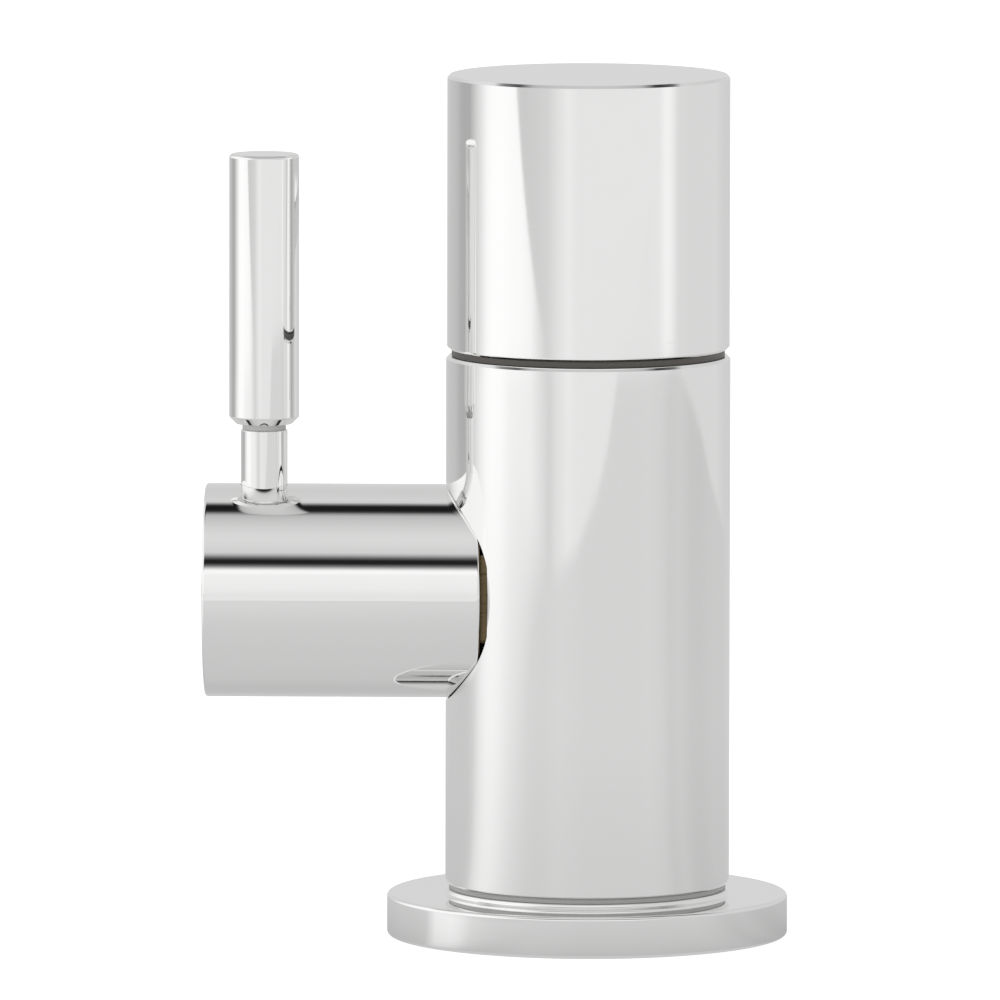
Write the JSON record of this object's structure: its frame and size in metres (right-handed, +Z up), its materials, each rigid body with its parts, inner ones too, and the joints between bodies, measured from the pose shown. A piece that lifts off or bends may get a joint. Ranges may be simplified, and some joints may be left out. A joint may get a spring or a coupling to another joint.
{
  "type": "hot water faucet",
  "caption": "Deck-mounted hot water faucet: round column on a flange, side hub with an upright pin lever, swivelling head with a slim bent spout, and an under-deck clamp.",
  "frame": {"origin": "centre of the base flange's underside, on the deck plane", "axes": "+Z up along the column; -X along the lever's hub; +Y along the spout at rest"},
  "size_m": [0.0727, 0.1583, 0.1597],
  "materials": {
    "chrome_plate": "polished chrome plate on brass",
    "raw_brass": "turned brass, unplated",
    "black_rubber": "matt black rubber",
    "dark_polymer": "dark low-friction polymer",
    "white_ceramic": "lapped white ceramic",
    "stainless_steel": "stainless steel",
    "zinc_steel": "zinc-plated steel"
  },
  "bodies": {
    "root": {"deck_gasket": "black_rubber", "base_flange": "chrome_plate", "foot_seal": "dark_polymer", "valve_body": "chrome_plate", "swivel_spigot": "raw_brass", "spigot_orings": "black_rubber", "upper_bearing_ring": "dark_polymer", "lower_bearing_ring": "dark_polymer", "cartridge_housing": "raw_brass", "cartridge_seal": "black_rubber", "housing_oring": "black_rubber", "fixed_ceramic_disc": "white_ceramic", "friction_washer": "dark_polymer", "fixing_stud": "zinc_steel", "clamp_rubber": "black_rubber", "clamp_plate": "zinc_steel", "clamp_nut": "raw_brass"},
    "handle": {"handle_hub": "chrome_plate", "lever_stem": "chrome_plate", "lever_grip": "chrome_plate", "hub_grub_screw": "stainless_steel", "valve_spindle": "raw_brass", "moving_ceramic_disc": "white_ceramic", "spindle_orings": "black_rubber", "spindle_clip": "stainless_steel"},
    "spout": {"swivel_head": "chrome_plate", "swivel_stop_screw": "stainless_steel", "spout_tube": "chrome_plate", "spout_collar": "chrome_plate", "nozzle": "chrome_plate", "aerator_insert": "dark_polymer", "aerator_seal": "black_rubber"}
  },
  "joints": [
    {"name": "lever_turn", "type": "hinge", "parent": "root", "child": "handle", "pos_m": [-0.0404, 0, 0.04301], "axis": [1, 0, 0], "range_deg": [0, 90]},
    {"name": "spout_swivel", "type": "hinge", "parent": "root", "child": "spout", "pos_m": [0, 0, 0.0884], "axis": [0, 0, 1], "range_deg": [-180, 60]}
  ]
}
